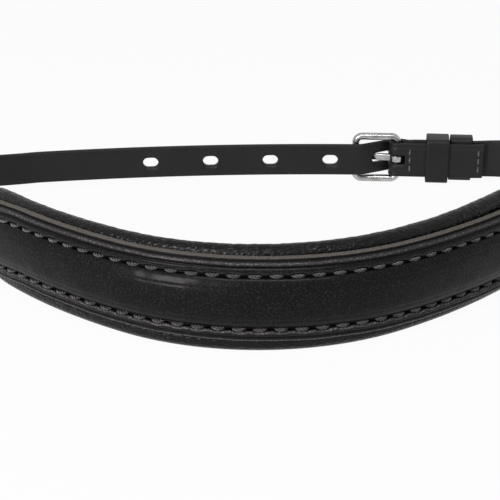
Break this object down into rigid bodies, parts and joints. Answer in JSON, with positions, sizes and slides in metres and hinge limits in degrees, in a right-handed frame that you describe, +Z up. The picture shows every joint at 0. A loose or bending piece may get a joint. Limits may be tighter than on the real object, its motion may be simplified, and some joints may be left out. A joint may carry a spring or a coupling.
{
  "type": "bridle noseband",
  "caption": "Closed padded bridle noseband: raised stitched leather front on a soft pad, narrow back strap with punched holes, buckle and keepers.",
  "frame": {"origin": "middle of the closed loop's outline seen from above, on the surface it stands on", "axes": "+Z up; -Y towards the front of the nose, where the raised face looks; +X towards the buckle's side"},
  "size_m": [0.2276, 0.1473, 0.032],
  "materials": {
    "face_leather": "satin, fine grain",
    "backing_leather": "matte, olive-grey cut edge",
    "strap_leather": "satin",
    "pad_leather": "soft, pebbled",
    "core_felt": "pressed felt",
    "foam": "foam",
    "thread": "waxed twisted thread",
    "buckle_steel": "polished"
  },
  "bodies": {
    "noseband": {"front_leather": "face_leather", "backing_leather": "backing_leather", "raised_core": "core_felt", "pad_lining": "pad_leather", "pad_foam": "foam", "upper_stitching": "thread", "lower_stitching": "thread", "billet_strap": "strap_leather", "chape_strap": "strap_leather", "fixed_keeper": "strap_leather", "left_headstrap_loop": "strap_leather", "right_headstrap_loop": "strap_leather", "left_loop_front_stitching": "thread", "left_loop_rear_stitching": "thread", "right_loop_front_stitching": "thread", "right_loop_rear_stitching": "thread", "billet_stitching": "thread", "chape_stitching": "thread", "fold_stitching": "thread", "turn_back_stitching": "thread"},
    "buckle": {"buckle_frame": "buckle_steel"},
    "tongue": {"buckle_tongue": "buckle_steel"},
    "runner": {"sliding_keeper": "strap_leather"}
  },
  "joints": [
    {"name": "buckle_swing", "type": "hinge", "parent": "noseband", "child": "buckle", "pos_m": [0.05271, 0.06802, 0.0099], "axis": [0, 0, -1], "range_deg": [0, 8]},
    {"name": "tongue_lift", "type": "hinge", "parent": "buckle", "child": "tongue", "pos_m": [0.05271, 0.06802, 0.0099], "axis": [0, 0, -1], "range_deg": [0, 12]},
    {"name": "keeper_slide", "type": "slide", "parent": "noseband", "child": "runner", "axis": [-0.9938, 0.1115, 0], "range_m": [0, 0.005]}
  ]
}
